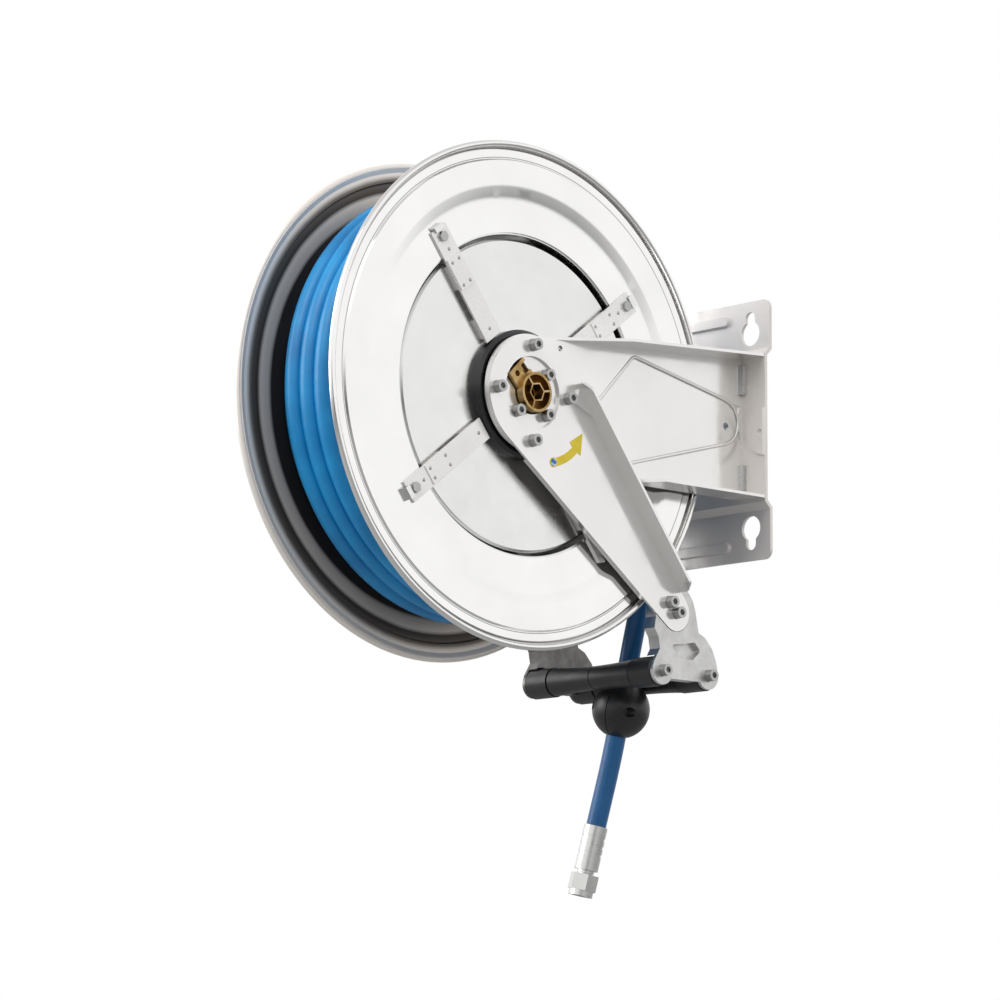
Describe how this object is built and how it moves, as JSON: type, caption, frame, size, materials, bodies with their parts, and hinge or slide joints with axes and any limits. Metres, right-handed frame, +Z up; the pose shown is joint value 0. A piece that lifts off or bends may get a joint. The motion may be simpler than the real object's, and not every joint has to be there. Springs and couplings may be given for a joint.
{
  "type": "spring-rewind hose reel",
  "caption": "Wall-mounted spring-rewind hose reel in polished stainless steel, with hose, stop ball, guide rollers, brass swivel and keyhole wall plate.",
  "frame": {"origin": "centre of the wall plate, on the plane of the wall", "axes": "+Z up, +X along the axle to the swivel side, +Y into the wall"},
  "size_m": [0.234, 0.479, 0.6236],
  "materials": {
    "stainless_polished": "mirror-polished stainless sheet",
    "stainless_satin": "bright rolled stainless sheet",
    "cast_aluminium": "as cast, lightly blasted",
    "brass": "machined",
    "black_plastic": "moulded, satin",
    "black_rubber": "moulded rubber",
    "hose_blue": "smooth extruded cover",
    "zinc_steel": "bright zinc plate",
    "fastener_steel": "stainless fastener",
    "spring_steel": "plain steel",
    "label_yellow": "printed film"
  },
  "bodies": {
    "frame": {"wall_plate": "stainless_polished", "bracket_near": "stainless_polished", "bracket_far": "stainless_polished", "weld_beads": "fastener_steel", "guide_arm_near": "stainless_polished", "guide_arm_far": "stainless_polished", "direction_label": "label_yellow", "roller_casting_near": "cast_aluminium", "roller_casting_far": "cast_aluminium", "roller_axles": "spring_steel", "trunnion": "cast_aluminium", "swivel_body": "brass", "swivel_seals": "black_rubber", "spring_arbor": "spring_steel", "pawl_pin": "spring_steel", "pawl_spring": "spring_steel", "hose_free": "hose_blue", "stop_ball_half_near": "black_rubber", "stop_ball_half_far": "black_rubber", "stop_ball_screws": "fastener_steel", "hose_ferrule": "zinc_steel", "hose_insert": "zinc_steel", "hub_screws_near": "fastener_steel", "hub_screws_far": "fastener_steel", "swivel_screws": "fastener_steel", "arm_end_screws": "fastener_steel", "roller_screws": "fastener_steel"},
    "drum": {"disc_near": "stainless_polished", "disc_far": "stainless_polished", "drum_core": "stainless_satin", "cover_near": "stainless_satin", "cover_far": "stainless_satin", "strap_1": "stainless_satin", "strap_2": "stainless_satin", "strap_3": "stainless_satin", "strap_4": "stainless_satin", "strap_bolts": "fastener_steel", "strap_clips": "stainless_satin", "hub_near": "cast_aluminium", "hub_collar": "black_plastic", "hub_far": "cast_aluminium", "bearing_near": "spring_steel", "bearing_far": "spring_steel", "fluid_tube": "spring_steel", "spring_case": "stainless_satin", "case_bolts": "fastener_steel", "mainspring": "spring_steel", "ratchet_wheel": "spring_steel", "hose_winding": "hose_blue"},
    "roller_front": {"roller_front": "black_plastic"},
    "roller_rear": {"roller_rear": "black_plastic"},
    "hose_nut": {"hose_nut": "zinc_steel"},
    "pawl": {"pawl": "spring_steel"}
  },
  "joints": [
    {"name": "drum_spin", "type": "hinge", "parent": "frame", "child": "drum", "pos_m": [0, -0.264, 0], "axis": [1, 0, 0], "continuous": true},
    {"name": "roller_front_spin", "type": "hinge", "parent": "frame", "child": "roller_front", "pos_m": [0, -0.11, -0.2198], "axis": [1, 0, 0], "continuous": true},
    {"name": "roller_rear_spin", "type": "hinge", "parent": "frame", "child": "roller_rear", "pos_m": [0, -0.054, -0.2198], "axis": [1, 0, 0], "continuous": true},
    {"name": "hose_nut_spin", "type": "hinge", "parent": "frame", "child": "hose_nut", "pos_m": [-0.01516, -0.10081, -0.3975], "axis": [-0.1579, -0.1556, -0.9751], "continuous": true},
    {"name": "pawl_swing", "type": "hinge", "parent": "frame", "child": "pawl", "pos_m": [-0.0596, -0.16, 0.018], "axis": [1, 0, 0], "range_deg": [0, 18]}
  ]
}
